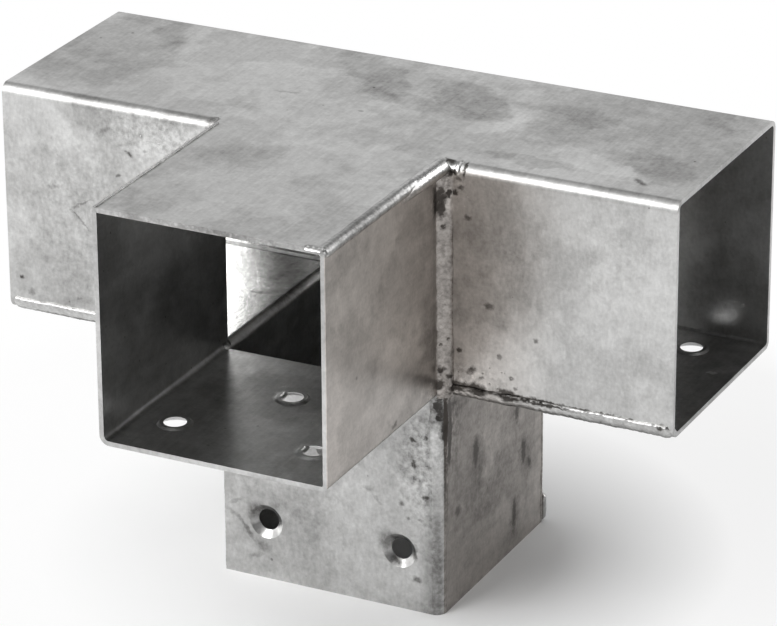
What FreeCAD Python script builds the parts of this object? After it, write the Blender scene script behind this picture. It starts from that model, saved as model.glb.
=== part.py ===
import FreeCAD, Part
import os

import Sketcher
from FreeCAD import Vector

# Four-way connector for square timber posts: four galvanised sheets, folded, pressed, and welded together.
# Millimetres. X runs along the two arms, the branch points to -Y, Z is up.
# The origin is the centre of the mouth of the downward post socket, which the part stands on.

# Driving dimensions: name, value, what it measures
SIZES = (
    ("socket_width", 72, "inner side of each square socket, for a 70 mm post"),
    ("gauge", 1.5, "sheet thickness"),
    ("arm_reach", 75, "length of the left and right sockets, outside the centre"),
    ("branch_reach", 75, "length of the front socket, outside the centre"),
    ("post_reach", 75, "length of the downward socket, outside the centre"),
    ("fold_inside", 1.5, "inner radius of the common folds"),
    ("wide_fold_inside", 1.7, "inner radius of the branch's lower left fold"),
    ("tight_fold_inside", 0.5, "inner radius of the branch's lower right fold"),
    ("relief_play", 0.5, "what a bend relief reaches past its bend"),
    ("corner_notch", 4, "length of fold cut away on each arm, beside the branch"),
    ("front_gap", 1.9, "distance between sheets under the front corner welds"),
    ("back_gap", 0.7, "distance between sheets under the back corner welds"),
    ("crown_gap", 0.5, "distance between sheets under the branch's upper right weld"),
    ("fillet_leg", 3.6, "leg of the welds in the two inner corners"),
    ("seam_width", 2.4, "width of the flat seam welds"),
    ("seam_height", 0.4, "height of the flat seam welds"),
    ("screw_hole", 7, "width of a screw hole at its narrow end"),
    ("sink_width", 11.4, "width of a pressed countersink on the outside"),
    ("sink_angle", 100, "angle of a countersink, in degrees"),
    ("lip_width", 11, "width of the ring that pressing raises on the inside"),
    ("lip_height", 0.5, "height of that ring"),
    ("lip_taper", -60, "slope of that ring's flank, in degrees"),
    ("screw_pitch", 46, "distance between the two screws beside a mouth"),
    ("pair_inset", 19.5, "distance from a mouth to its two screws"),
    ("single_inset", 50, "distance from a mouth to its third screw"),
)

# Places worked out from the driving dimensions
GAUGE = "Sizes.gauge"
INNER = "(Sizes.socket_width / 2)"
HALF = f"({INNER} + Sizes.gauge)"
UNDER = "Sizes.post_reach"
TOP = f"(Sizes.post_reach + 2 * {HALF})"
ARM_END = f"({HALF} + Sizes.arm_reach)"
BRANCH_END = f"({HALF} + Sizes.branch_reach)"
FOLD = "(Sizes.gauge + Sizes.fold_inside)"
WIDE_FOLD = "(Sizes.gauge + Sizes.wide_fold_inside)"
TIGHT_FOLD = "(Sizes.gauge + Sizes.tight_fold_inside)"
RELIEF = "(Sizes.fold_inside + Sizes.relief_play)"
FRONT_WELD = "(Sizes.gauge + Sizes.front_gap)"
BACK_WELD = "(Sizes.gauge + Sizes.back_gap)"
CROWN_WELD = "(Sizes.gauge + Sizes.crown_gap)"

TOLERANCE = 0.001
LEFT, RIGHT = -1, 1


def add_sizes(doc):
    """The table of driving dimensions that every sketch and feature reads."""
    table = doc.addObject("Spreadsheet::Sheet", "Sizes")
    for row, (name, value, meaning) in enumerate(SIZES, start=1):
        table.set(f"A{row}", name)
        table.set(f"B{row}", str(value))
        table.set(f"C{row}", meaning)
        table.setAlias(f"B{row}", name)
    doc.recompute()


def new_body(doc, name):
    body = doc.addObject("PartDesign::Body", name)
    body.Label = name
    return body


def new_sketch(body, name, role, offset):
    """A sketch on one of the body's own origin planes, moved along its normal."""
    sketch = body.newObject("Sketcher::SketchObject", name)
    plane = next(item for item in body.Origin.OriginFeatures if item.Role == role)
    sketch.AttachmentSupport = [(plane, "")]
    sketch.MapMode = "FlatFace"
    sketch.setExpression("AttachmentOffset.Base.z", offset)
    return sketch


def constrain(sketch, formula, *details):
    index = sketch.addConstraint(Sketcher.Constraint(*details, sketch.evalExpression(formula)))
    sketch.setExpression(f"Constraints[{index}]", formula)


def pin(sketch, geometry, end, spot):
    """Holds one point of the sketch at a place given across and up from its origin."""
    constrain(sketch, spot[0], "DistanceX", -1, 1, geometry, end)
    constrain(sketch, spot[1], "DistanceY", -1, 1, geometry, end)


def short_arc(start, end, centre):
    """The shorter arc between two points, and which of its ends is the start point."""
    radial, other = start - centre, end - centre
    forward = radial.cross(other).z > 0
    first, last = (radial, other) if forward else (other, radial)
    full = Part.Circle(centre, Vector(0, 0, 1), radial.Length)
    angles = [Vector(1, 0, 0).getAngle(arm) * (1 if arm.y >= 0 else -1) for arm in (first, last)]
    return Part.ArcOfCircle(full, *angles), forward


def outline(body, name, role, offset, spots, arcs=None):
    """A closed outline through the given places; arcs gives a centre for each side that is round."""
    sketch = new_sketch(body, name, role, offset)
    corners = [Vector(sketch.evalExpression(across), sketch.evalExpression(up), 0) for across, up in spots]
    ends = []
    for side, corner in enumerate(corners):
        following = corners[(side + 1) % len(corners)]
        if arcs and side in arcs:
            across, up = arcs[side]
            centre = Vector(sketch.evalExpression(across), sketch.evalExpression(up), 0)
            curve, forward = short_arc(corner, following, centre)
            sketch.addGeometry(curve)
            ends.append((1, 2) if forward else (2, 1))
        else:
            sketch.addGeometry(Part.LineSegment(corner, following))
            ends.append((1, 2))
    for side, spot in enumerate(spots):
        following = (side + 1) % len(spots)
        sketch.addConstraint(Sketcher.Constraint("Coincident", side, ends[side][1], following, ends[following][0]))
        pin(sketch, side, ends[side][0], spot)
        if arcs and side in arcs:
            constrain(sketch, arcs[side][0], "DistanceX", -1, 1, side, 3)
    return sketch


def rectangle(body, name, role, offset, across, up):
    """An upright rectangle between two places across and two places up."""
    spots = ((across[0], up[0]), (across[1], up[0]), (across[1], up[1]), (across[0], up[1]))
    return outline(body, name, role, offset, spots)


def circles(body, name, role, offset, spots, width):
    """Equal circles about the given places."""
    sketch = new_sketch(body, name, role, offset)
    for index, (across, up) in enumerate(spots):
        centre = Vector(sketch.evalExpression(across), sketch.evalExpression(up), 0)
        sketch.addGeometry(Part.Circle(centre, Vector(0, 0, 1), sketch.evalExpression(width) / 2))
        pin(sketch, index, 3, (across, up))
        constrain(sketch, width, "Diameter", index)
    return sketch


def pad(body, name, sketch, length, toward=1):
    """Adds metal from the sketch, along its normal or against it."""
    feature = body.newObject("PartDesign::Pad", name)
    feature.Profile = sketch
    feature.Reversed = toward < 0
    feature.setExpression("Length", length)
    return feature


def cut(body, name, sketch, length=None, toward=1):
    """Removes metal from the sketch, along its normal or against it, to a depth or right through."""
    feature = body.newObject("PartDesign::Pocket", name)
    feature.Profile = sketch
    feature.Reversed = toward > 0
    if length:
        feature.setExpression("Length", length)
    else:
        feature.Type = "ThroughAll"
    return feature


def fold(body, name, axis, spot, radius):
    """Rounds the sharp bend line that runs along one axis (0, 1, 2) through a spot in the other two."""
    body.Document.recompute()
    base = body.Tip
    others = [index for index in range(3) if index != axis]
    target = [base.evalExpression(formula) for formula in spot]
    names = []
    for index, edge in enumerate(base.Shape.Edges, start=1):
        first, last = edge.firstVertex().Point, edge.lastVertex().Point
        on_line = all(
            abs(end[other] - value) < TOLERANCE
            for end in (first, last)
            for other, value in zip(others, target)
        )
        if on_line and abs(first[axis] - last[axis]) > TOLERANCE:
            names.append(f"Edge{index}")
    fillet = body.newObject("PartDesign::Fillet", name)
    fillet.Base = (base, names)
    fillet.setExpression("Radius", radius)
    return fillet


def screw_holes(body, name, role, outside, inside, spots, toward):
    """Three screw holes with pressed countersinks: a ring stands up inside where the metal was pushed."""
    rings = circles(body, f"{name}Rings", role, inside, spots, "Sizes.lip_width")
    lip = pad(body, f"{name}Lip", rings, "Sizes.lip_height", toward)
    lip.setExpression("TaperAngle", "Sizes.lip_taper")
    body.Document.recompute()
    centres = circles(body, f"{name}Centres", role, outside, spots, "Sizes.screw_hole")
    hole = body.newObject("PartDesign::Hole", name)
    hole.Profile = centres
    hole.Reversed = toward > 0
    hole.Threaded = False
    hole.DepthType = "ThroughAll"
    hole.HoleCutType = "Countersink"
    hole.HoleCutCustomValues = True
    hole.setExpression("Diameter", "Sizes.screw_hole")
    hole.setExpression("HoleCutDiameter", "Sizes.sink_width")
    hole.setExpression("HoleCutCountersinkAngle", "Sizes.sink_angle")
    return hole


def screw_spots(mouth, inward):
    """Places of the three screws, as distance along the socket and across it."""
    near = f"{mouth} + {inward} * Sizes.pair_inset"
    far = f"{mouth} + {inward} * Sizes.single_inset"
    return (near, "-Sizes.screw_pitch / 2"), (near, "Sizes.screw_pitch / 2"), (far, "0")


def top_sheet(doc):
    """T-shaped top, with the back wall, the post socket's back and the arms' front walls folded down."""
    body = new_body(doc, "top_sheet")
    arch = outline(body, "RunProfile", "YZ_Plane", f"-{ARM_END}", (
        (HALF, f"{UNDER} + {BACK_WELD}"),
        (HALF, TOP),
        (f"-{HALF}", TOP),
        (f"-{HALF}", f"{UNDER} + {FRONT_WELD}"),
        (f"-{INNER}", f"{UNDER} + {FRONT_WELD}"),
        (f"-{INNER}", f"{TOP} - {GAUGE}"),
        (INNER, f"{TOP} - {GAUGE}"),
        (INNER, f"{UNDER} + {BACK_WELD}"),
    ))
    pad(body, "Run", arch, f"2 * {ARM_END}")
    for place, side in (("Back", ""), ("Front", "-")):
        fold(body, f"{place}FoldOutside", 0, (f"{side}{HALF}", TOP), FOLD)
        fold(body, f"{place}FoldInside", 0, (f"{side}{INNER}", f"{TOP} - {GAUGE}"), "Sizes.fold_inside")

    # The front wall stops at the branch, and its fold stops a notch earlier
    notch = f"({HALF} + Sizes.corner_notch)"
    opening = outline(body, "BranchOpening", "XZ_Plane", f"{HALF} - {FOLD}", (
        (f"-{INNER}", UNDER),
        (INNER, UNDER),
        (INNER, f"{TOP} - {FOLD}"),
        (notch, f"{TOP} - {FOLD}"),
        (notch, TOP),
        (f"-{notch}", TOP),
        (f"-{notch}", f"{TOP} - {FOLD}"),
        (f"-{INNER}", f"{TOP} - {FOLD}"),
    ))
    cut(body, "BranchGap", opening)
    cover = rectangle(body, "BranchTopOutline", "XY_Plane", f"{TOP} - {GAUGE}",
                      (f"-{HALF}", f"{HALF} - {CROWN_WELD}"), (f"-{BRANCH_END}", f"-({HALF} - {FOLD})"))
    pad(body, "BranchTop", cover, GAUGE)
    back = rectangle(body, "PostBackOutline", "XZ_Plane", f"-{HALF}",
                     (f"-({HALF} - {BACK_WELD})", f"{HALF} - {BACK_WELD}"), ("0", f"{UNDER} + {HALF}"))
    pad(body, "PostBack", back, GAUGE)
    return body


def branch_sheet(doc):
    """Trough of the branch, open at the top, whose floor is folded down as the post socket's front."""
    body = new_body(doc, "branch_sheet")
    trough = outline(body, "TroughProfile", "XZ_Plane", HALF, (
        (f"-{HALF}", f"{TOP} - {GAUGE}"),
        (f"-{HALF}", UNDER),
        (HALF, UNDER),
        (HALF, f"{TOP} - {CROWN_WELD}"),
        (INNER, f"{TOP} - {CROWN_WELD}"),
        (INNER, f"{UNDER} + {GAUGE}"),
        (f"-{INNER}", f"{UNDER} + {GAUGE}"),
        (f"-{INNER}", f"{TOP} - {GAUGE}"),
    ))
    pad(body, "Trough", trough, "Sizes.branch_reach")
    fold(body, "WideFoldOutside", 1, (f"-{HALF}", UNDER), WIDE_FOLD)
    fold(body, "WideFoldInside", 1, (f"-{INNER}", f"{UNDER} + {GAUGE}"), "Sizes.wide_fold_inside")
    fold(body, "TightFoldOutside", 1, (HALF, UNDER), TIGHT_FOLD)
    fold(body, "TightFoldInside", 1, (INNER, f"{UNDER} + {GAUGE}"), "Sizes.tight_fold_inside")

    # The floor runs on and turns down; reliefs at both ends of the bend free it from the side walls
    behind = f"-({HALF} + {RELIEF})"
    drop = outline(body, "PostFrontProfile", "YZ_Plane", f"-{HALF}", (
        (behind, UNDER),
        (f"-{HALF}", UNDER),
        (f"-{HALF}", "0"),
        (f"-{INNER}", "0"),
        (f"-{INNER}", f"{UNDER} + {GAUGE}"),
        (behind, f"{UNDER} + {GAUGE}"),
    ))
    pad(body, "PostFront", drop, f"2 * {HALF} - {FRONT_WELD}")
    reliefs = (
        ("WideRelief", (f"-{HALF}", f"{WIDE_FOLD} - {HALF}"), WIDE_FOLD),
        ("TightRelief", (f"{HALF} - {FRONT_WELD}", HALF), TIGHT_FOLD),
    )
    for name, across, height in reliefs:
        corner = rectangle(body, f"{name}Outline", "XY_Plane", f"{UNDER} - {RELIEF}",
                           across, (behind, f"-{INNER}"))
        cut(body, name, corner, f"{RELIEF} + {height}")
    fold(body, "PostBendOutside", 0, (f"-{HALF}", UNDER), "Sizes.fold_inside")
    fold(body, "PostBendInside", 0, (f"-{INNER}", f"{UNDER} + {GAUGE}"), FOLD)

    floor_spots = [(across, along) for along, across in screw_spots(f"-{BRANCH_END}", "1")]
    screw_holes(body, "FloorHoles", "XY_Plane", UNDER, f"{UNDER} + {GAUGE}", floor_spots, 1)
    wall_spots = [(across, along) for along, across in screw_spots("0", "1")]
    screw_holes(body, "PostHoles", "XZ_Plane", HALF, INNER, wall_spots, -1)
    return body


def arm_sheet(doc, name, side):
    """Floor of one arm, folded down at the centre as one side of the post socket."""
    body = new_body(doc, name)
    front_edge = FRONT_WELD if side == RIGHT else GAUGE
    angle = outline(body, "AngleProfile", "XZ_Plane", f"{BACK_WELD} - {HALF}", (
        (f"{side} * {ARM_END}", UNDER),
        (f"{side} * {HALF}", UNDER),
        (f"{side} * {HALF}", "0"),
        (f"{side} * {INNER}", "0"),
        (f"{side} * {INNER}", f"{UNDER} + {GAUGE}"),
        (f"{side} * {ARM_END}", f"{UNDER} + {GAUGE}"),
    ))
    pad(body, "Angle", angle, f"2 * {HALF} - {BACK_WELD} - {front_edge}")
    fold(body, "BendOutside", 1, (f"{side} * {HALF}", UNDER), "Sizes.fold_inside")
    fold(body, "BendInside", 1, (f"{side} * {INNER}", f"{UNDER} + {GAUGE}"), FOLD)
    if side == LEFT:
        # The post socket's left wall reaches the front sheet, while the floor keeps room for its weld
        strip = rectangle(body, "FloorEdgeOutline", "XY_Plane", f"{UNDER} - {RELIEF}",
                          (f"-{ARM_END}", f"-{INNER}"), (f"-{INNER}", f"{FRONT_WELD} - {HALF}"))
        cut(body, "FloorEdge", strip)
    spots = screw_spots(f"{side} * {ARM_END}", f"{-side}")
    screw_holes(body, "FloorHoles", "XY_Plane", UNDER, f"{UNDER} + {GAUGE}", spots, 1)
    return body


def weld(doc, name, role, start, spots, arcs, length, toward=1):
    """One straight run of weld metal with a constant section."""
    body = new_body(doc, name)
    section = outline(body, "Section", role, start, spots, arcs)
    pad(body, "Bead", section, length, toward)
    return body


def corner_weld(doc, name, role, start, corner, inward, size, length, toward=1):
    """Rounds an outside corner where two sheets stop short of each other."""
    def spot(across, up):
        return f"{corner[0]} + {inward[0]} * {across}", f"{corner[1]} + {inward[1]} * {up}"
    spots = (spot(size, "0"), spot("0", size), spot(GAUGE, size), spot(size, GAUGE))
    return weld(doc, name, role, start, spots, {0: spot(size, size)}, length, toward)


def inner_weld(doc, name, side):
    """Fills the upright inner corner between the branch and one arm."""
    leg = "Sizes.fillet_leg"
    spots = (
        (f"{side} * {HALF}", f"-{HALF}"),
        (f"{side} * ({HALF} + {leg})", f"-{HALF}"),
        (f"{side} * {HALF}", f"-({HALF} + {leg})"),
    )
    arcs = {1: (f"{side} * ({HALF} - {leg})", f"-({HALF} - {leg})")}
    return weld(doc, name, "XY_Plane", UNDER, spots, arcs, f"{TOP} - {FOLD} - {UNDER}")


def seam_weld(doc, name, role, start, level, length):
    """A flat bead on the left face, over the joint where one sheet covers the edge of another."""
    half_width = "Sizes.seam_width / 2"
    spots = ((f"-{HALF}", f"{level} - {half_width}"), (f"-{HALF}", f"{level} + {half_width}"))
    # Radius of the arc whose chord is the width and whose rise is the height
    radius = "((Sizes.seam_width / 2) ^ 2 + Sizes.seam_height ^ 2) / (2 * Sizes.seam_height)"
    arcs = {1: (f"{radius} - Sizes.seam_height - {HALF}", level)}
    return weld(doc, name, role, start, spots, arcs, length)


def add_welds(doc):
    """Every run of weld between the four sheets."""
    welds = [
        corner_weld(doc, "weld_branch_top_right", "XZ_Plane", HALF, (HALF, TOP), (-1, -1),
                    CROWN_WELD, "Sizes.branch_reach"),
        seam_weld(doc, "weld_branch_top_left", "XZ_Plane", HALF, f"{TOP} - {GAUGE}", "Sizes.branch_reach"),
        corner_weld(doc, "weld_post_front_right", "XY_Plane", "0", (HALF, f"-{HALF}"), (-1, 1),
                    FRONT_WELD, f"{UNDER} + {FRONT_WELD}"),
        seam_weld(doc, "weld_post_front_left", "XY_Plane", "0", f"-{INNER}", f"{UNDER} - {RELIEF}"),
    ]
    for word, side in (("left", LEFT), ("right", RIGHT)):
        # The left bead also closes the end of the wall that stands inside the corner
        start = HALF if side == RIGHT else INNER
        welds.append(corner_weld(doc, f"weld_{word}_arm_front", "YZ_Plane", f"{side} * {start}",
                                 (f"-{HALF}", UNDER), (1, 1), FRONT_WELD, f"{ARM_END} - {start}", side))
        welds.append(corner_weld(doc, f"weld_{word}_arm_back", "YZ_Plane", f"{side} * {HALF}",
                                 (HALF, UNDER), (-1, 1), BACK_WELD, "Sizes.arm_reach", side))
        welds.append(corner_weld(doc, f"weld_post_back_{word}", "XY_Plane", "0",
                                 (f"{side} * {HALF}", HALF), (-side, -1), BACK_WELD, f"{UNDER} + {BACK_WELD}"))
        edge = f"({HALF} - {CROWN_WELD})" if side == RIGHT else HALF
        welds.append(corner_weld(doc, f"weld_{word}_notch", "YZ_Plane", f"{side} * {edge}",
                                 (f"-{HALF}", TOP), (1, -1), FOLD, f"{HALF} + Sizes.corner_notch - {edge}", side))
        welds.append(inner_weld(doc, f"weld_{word}_inner_corner", side))
    return welds


def check(doc, bodies):
    """Stops before anything is written if a feature failed or a piece isn't one sound solid."""
    for item in doc.Objects:
        if "Invalid" in item.State or "Error" in item.State:
            raise RuntimeError(f"{item.FullName} failed: {item.State}")
    for body in bodies:
        shape = body.Shape
        if shape.isNull() or not shape.isValid() or len(shape.Solids) != 1:
            raise RuntimeError(f"{body.Label} isn't one sound solid")


def main():
    doc = FreeCAD.newDocument("PostConnector")
    add_sizes(doc)
    bodies = [
        top_sheet(doc),
        branch_sheet(doc),
        arm_sheet(doc, "left_arm_sheet", LEFT),
        arm_sheet(doc, "right_arm_sheet", RIGHT),
    ]
    bodies += add_welds(doc)
    doc.recompute()
    check(doc, bodies)
    os.makedirs("parts", exist_ok=True)
    for body in bodies:
        body.Shape.exportStep(f"parts/{body.Label}.step")
        print(f"{body.Label}: {body.Shape.Volume:.1f} mm3")


main()
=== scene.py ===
# %% [markdown]
# # Four-way post connector
# The real object is a bracket for timber frames: four pieces of 1.5 mm sheet steel, folded into square
# sockets, welded along their joints and then dipped in molten zinc. The sheets, with their folds and screw
# holes, come ready from the solid model. This lesson adds what the solids leave out: the grain and stains
# of the zinc with some painted shade and highlights, hand-laid weld beads with their ripples and pits,
# spatter, the light and the camera.

# %% Load the solid model
import math
import bpy
from mathutils import Matrix, Vector


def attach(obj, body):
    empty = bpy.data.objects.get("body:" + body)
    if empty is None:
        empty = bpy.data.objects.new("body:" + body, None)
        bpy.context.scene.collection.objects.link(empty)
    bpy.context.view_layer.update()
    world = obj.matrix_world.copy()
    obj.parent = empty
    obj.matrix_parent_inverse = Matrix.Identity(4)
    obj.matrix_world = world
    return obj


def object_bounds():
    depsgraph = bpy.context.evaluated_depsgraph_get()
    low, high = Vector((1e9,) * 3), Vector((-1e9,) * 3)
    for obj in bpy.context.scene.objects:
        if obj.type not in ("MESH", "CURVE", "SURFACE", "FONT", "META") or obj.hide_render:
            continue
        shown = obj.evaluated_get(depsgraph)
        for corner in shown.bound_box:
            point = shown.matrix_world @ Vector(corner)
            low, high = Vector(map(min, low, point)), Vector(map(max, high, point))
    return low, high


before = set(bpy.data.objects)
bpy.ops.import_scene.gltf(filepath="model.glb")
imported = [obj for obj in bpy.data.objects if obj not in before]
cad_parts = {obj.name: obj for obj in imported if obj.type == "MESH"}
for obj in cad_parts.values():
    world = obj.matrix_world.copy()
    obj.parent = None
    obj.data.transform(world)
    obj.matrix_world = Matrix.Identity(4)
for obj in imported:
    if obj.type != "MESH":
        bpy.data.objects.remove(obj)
cad_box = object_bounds()
MM = 0.001
print("sheets and welds:", sorted(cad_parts))

# %% [markdown]
# ## Small helpers
# Colours are written as the hex codes a paint chart would give, and turned into the linear numbers that a
# renderer adds up. Every material and every Geometry Nodes tree below is built by one function that adds a
# node, sets it and links it, so each recipe reads from top to bottom like a list.

# %% Helpers for colours, nodes and objects
MATH, VECTOR_MATH, RANGE = "ShaderNodeMath", "ShaderNodeVectorMath", "ShaderNodeMapRange"
SPLIT, JOIN = "ShaderNodeSeparateXYZ", "ShaderNodeCombineXYZ"
NOISE, MIX = "ShaderNodeTexNoise", "ShaderNodeMix"


def linear(hex_colour):
    """sRGB hex code to linear red, green, blue and alpha."""
    channels = [int(hex_colour[i:i + 2], 16) / 255 for i in (1, 3, 5)]
    return [c / 12.92 if c <= 0.04045 else ((c + 0.055) / 1.055) ** 2.4 for c in channels] + [1.0]


def add(tree, kind, *inputs, **settings):
    """Adds one node. Inputs come in order or as one dictionary. A node given stands for its first output."""
    made = tree.nodes.new(kind)
    for name, value in settings.items():
        setattr(made, name, value)
    named = inputs[0] if inputs and isinstance(inputs[0], dict) else dict(enumerate(inputs))
    for socket, value in named.items():
        if isinstance(value, bpy.types.Node):
            value = value.outputs[0]
        if isinstance(value, bpy.types.NodeSocket):
            tree.links.new(value, made.inputs[socket])
        else:
            made.inputs[socket].default_value = value
    return made


def in_scene(name, data):
    """An object at the origin that shows this mesh, lamp or camera."""
    thing = bpy.data.objects.new(name, data)
    bpy.context.scene.collection.objects.link(thing)
    return thing


print("mid grey #808080 is", round(linear("#808080")[0], 3), "in linear light")

# %% [markdown]
# ## Camera
# The photograph was taken from the front right, a little above, with a long lens, so upright edges stay
# nearly parallel. The angles, distance and focal length were solved from sixteen corners of the object. The
# object's centre sits a little off the middle of the picture, which a small sideways move of the camera
# gives without any lens shift.

# %% Camera at the photograph's viewpoint
AZIMUTH, ELEVATION, ROLL = (math.radians(angle) for angle in (26.554, 23.593, -0.327))
DISTANCE, ASIDE, ABOVE = 1358.8 * MM, 1.1 * MM, -30.0 * MM
SENSOR_WIDTH = 36
LENS = 205.26
CENTRE = Vector((0, 0, 112.5 * MM))

back = Vector((math.sin(AZIMUTH) * math.cos(ELEVATION),
               -math.cos(AZIMUTH) * math.cos(ELEVATION),
               math.sin(ELEVATION)))
level = Vector((math.cos(AZIMUTH), math.sin(AZIMUTH), 0))
upright = back.cross(level)
right = math.cos(ROLL) * level + math.sin(ROLL) * upright
up = math.cos(ROLL) * upright - math.sin(ROLL) * level

camera = in_scene("camera", bpy.data.cameras.new("camera"))
camera.data.sensor_fit = "HORIZONTAL"
camera.data.sensor_width = SENSOR_WIDTH
camera.data.lens = LENS
place = CENTRE + DISTANCE * back + ASIDE * right + ABOVE * up
camera.matrix_world = Matrix.Translation(place) @ Matrix((right, up, back)).transposed().to_4x4()
bpy.context.scene.camera = camera
bpy.context.scene.view_settings.view_transform = "Standard"
print("camera at", [round(v, 3) for v in place])

# %% [markdown]
# ## Floor and light
# Galvanised steel is a dull mirror, so what it reflects matters more than what shines on it. From this
# viewpoint the upright front faces mirror the floor in front, the top mirrors the space behind on the left,
# and the floors inside the sockets mirror, by way of the back wall, a lamp low in front on the left: that
# gives the white patch seen through the front mouth. Large soft boxes in those places light the metal as a
# studio would. The floor is white paper. Away from the object it gets less light, so where the camera or a
# mirror sees it, more and more of its white comes from the paper itself. At the post's foot the lamps alone
# light it. From there its own white grows quickly, so the object keeps a shadow, and a light one.

# %% White paper floor
FLOOR_SIDE = 8.0
# How far from the object's middle the paper's own white begins and is full, in metres, and its share there
MIRRORED_WHITE = (0.08, 0.7, 0.0, 0.9)
SEEN_WHITE = (0.08, 0.21, 0.0, 1.0)
SEEN_IN_SHADOW = (0.055, 0.11, 0.0, 0.78)

paper = bpy.data.materials.new("white studio paper")
paper.use_nodes = True
tree = paper.node_tree
tree.nodes.clear()
rays = add(tree, "ShaderNodeLightPath").outputs
spot = add(tree, "ShaderNodeTexCoord").outputs["Object"]
away = add(tree, VECTOR_MATH, spot, operation="LENGTH").outputs["Value"]
mirrored = add(tree, MATH, rays["Is Glossy Ray"], rays["Is Transmission Ray"], operation="MAXIMUM")
mirrored = add(tree, MATH, mirrored, add(tree, RANGE, away, *MIRRORED_WHITE), operation="MULTIPLY")
far_white, near_white = add(tree, RANGE, away, *SEEN_WHITE), add(tree, RANGE, away, *SEEN_IN_SHADOW)
seen = add(tree, MATH, far_white, near_white, operation="MAXIMUM")
seen = add(tree, MATH, seen, rays["Is Camera Ray"], operation="MULTIPLY")
own_share = add(tree, MATH, seen, mirrored, operation="MAXIMUM")
lit = add(tree, "ShaderNodeBsdfDiffuse", {"Color": linear("#FAFAFA")})
own = add(tree, "ShaderNodeEmission", {"Color": linear("#FFFFFF"), "Strength": 1.0})
add(tree, "ShaderNodeOutputMaterial", add(tree, "ShaderNodeMixShader", own_share, lit, own))

reach = FLOOR_SIDE / 2
floor_mesh = bpy.data.meshes.new("floor")
corners = ((-reach, -reach), (reach, -reach), (reach, reach), (-reach, reach))
floor_mesh.from_pydata([(x, y, cad_box[0][2]) for x, y in corners], [], [(0, 1, 2, 3)])
floor_mesh.materials.append(paper)
in_scene("floor", floor_mesh)
print("floor at height", cad_box[0][2])

# %% Soft boxes and a dim even sky
SKY_STRENGTH = 0.2
# name: place, width, height (all in metres), power in watts
SOFT_BOXES = {
    "low front left": ((-0.95, -1.55, 0.95), 1.4, 1.0, 27),
    "high front left": ((-0.9, -1.3, 1.7), 1.2, 1.2, 16),
    "far left": ((-1.6, -0.25, 0.35), 1.6, 1.2, 5),
    "behind left": ((-0.70, 1.40, 0.85), 1.3, 1.0, 2.8),
    "overhead": ((0.0, 0.1, 2.0), 1.4, 1.4, 6.5),
    "behind right": ((1.2, 1.4, 0.9), 1.0, 1.0, 8),
}

world = bpy.data.worlds.new("studio")
world.use_nodes = True
world.node_tree.nodes.clear()
sky = add(world.node_tree, "ShaderNodeBackground", {"Color": linear("#FFFFFF"), "Strength": SKY_STRENGTH})
add(world.node_tree, "ShaderNodeOutputWorld", sky)
bpy.context.scene.world = world

for name, (spot, width, height, power) in SOFT_BOXES.items():
    lamp = bpy.data.lights.new(name, "AREA")
    lamp.shape = "RECTANGLE"
    lamp.size, lamp.size_y, lamp.energy = width, height, power
    aim = (CENTRE - Vector(spot)).to_track_quat("-Z", "Y").to_matrix().to_4x4()
    in_scene(name, lamp).matrix_world = Matrix.Translation(spot) @ aim
print("soft boxes:", len(SOFT_BOXES))

# %% [markdown]
# ## Hot-dip galvanised steel
# Molten zinc cools on the steel as a dull grey coat: metallic, with cloudy patches where it drained
# unevenly, fine streaks where it was wiped, a grain, dark pinholes, and a darker, slightly brown cast where
# welding heat and flux changed it, deepened by painted shade in the inner corner. The pattern works in
# millimetres of the part's own frame, so a cloud can be 24 mm wide and a stain can sit beside the weld that
# caused it. All that lightens or darkens the zinc is added up as one number, which then picks a colour
# between dark and bright zinc. The sheets and the weld metal share the recipe. Each sheet has its own
# marks, so that none spends time on marks of another.

# %% Patterns that drained, wiped and frozen zinc shows
CLOUD_MM, PATCH_MM, MOTTLE_MM, GRAIN_MM = 24.0, 34.0, 4.2, 1.1
# A streak's size along each axis, and how the streaks lean, in radians
STREAK_MM, STREAK_LEAN = (1.1, 15.0, 3.0), (0.1, 0.15, 0.12)
# Noise lies around 0.5, and is stretched between these two values for the patches
PATCH_EDGE = (0.46, 0.54)
# How strongly each pattern shows: on the sheets, and on weld metal
SHEET = {"level": -0.045, "clouds": 0.42, "patches": 0.15, "mottle": 0.40, "grain": 0.28, "streaks": 0.30,
         "relief": 1.0}
WELD = {"level": -0.02, "clouds": 0.20, "patches": 0.0, "mottle": 0.80, "grain": 0.45, "streaks": 0.0,
        "relief": 2.6}


def patterns(tree, mm, kind):
    """Clouds, mottle and grain, and the brightness that all the patterns add up to."""
    clouds = add(tree, NOISE, {"Vector": mm, "Scale": 1 / CLOUD_MM, "Detail": 4.0, "Roughness": 0.6,
                               "Distortion": 0.8})
    patches = add(tree, NOISE, {"Vector": mm, "Scale": 1 / PATCH_MM, "Detail": 7.0, "Roughness": 0.62})
    patches = add(tree, RANGE, patches, *PATCH_EDGE)
    mottle = add(tree, NOISE, {"Vector": mm, "Scale": 1 / MOTTLE_MM, "Detail": 4.0, "Roughness": 0.65,
                               "Distortion": 0.6})
    grain = add(tree, NOISE, {"Vector": mm, "Scale": 1 / GRAIN_MM, "Detail": 2.0})
    along = add(tree, "ShaderNodeMapping", {"Vector": mm, "Rotation": STREAK_LEAN,
                                            "Scale": tuple(1 / size for size in STREAK_MM)})
    streaks = add(tree, NOISE, {"Vector": along, "Scale": 1.0, "Detail": 3.0, "Roughness": 0.6})
    bright = add(tree, MATH, clouds, kind["clouds"], kind["level"], operation="MULTIPLY_ADD")
    for pattern, strength in ((patches, "patches"), (mottle, "mottle"), (grain, "grain"), (streaks, "streaks")):
        bright = add(tree, MATH, pattern, kind[strength], bright, operation="MULTIPLY_ADD")
    return clouds, mottle, grain, bright


print("mottle on sheets and welds:", SHEET["mottle"], WELD["mottle"])

# %% Pinholes
# Space is cut into cells of this size. Some have a dark dot, of a different size in each
PINHOLE_MM = 7.0
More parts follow.
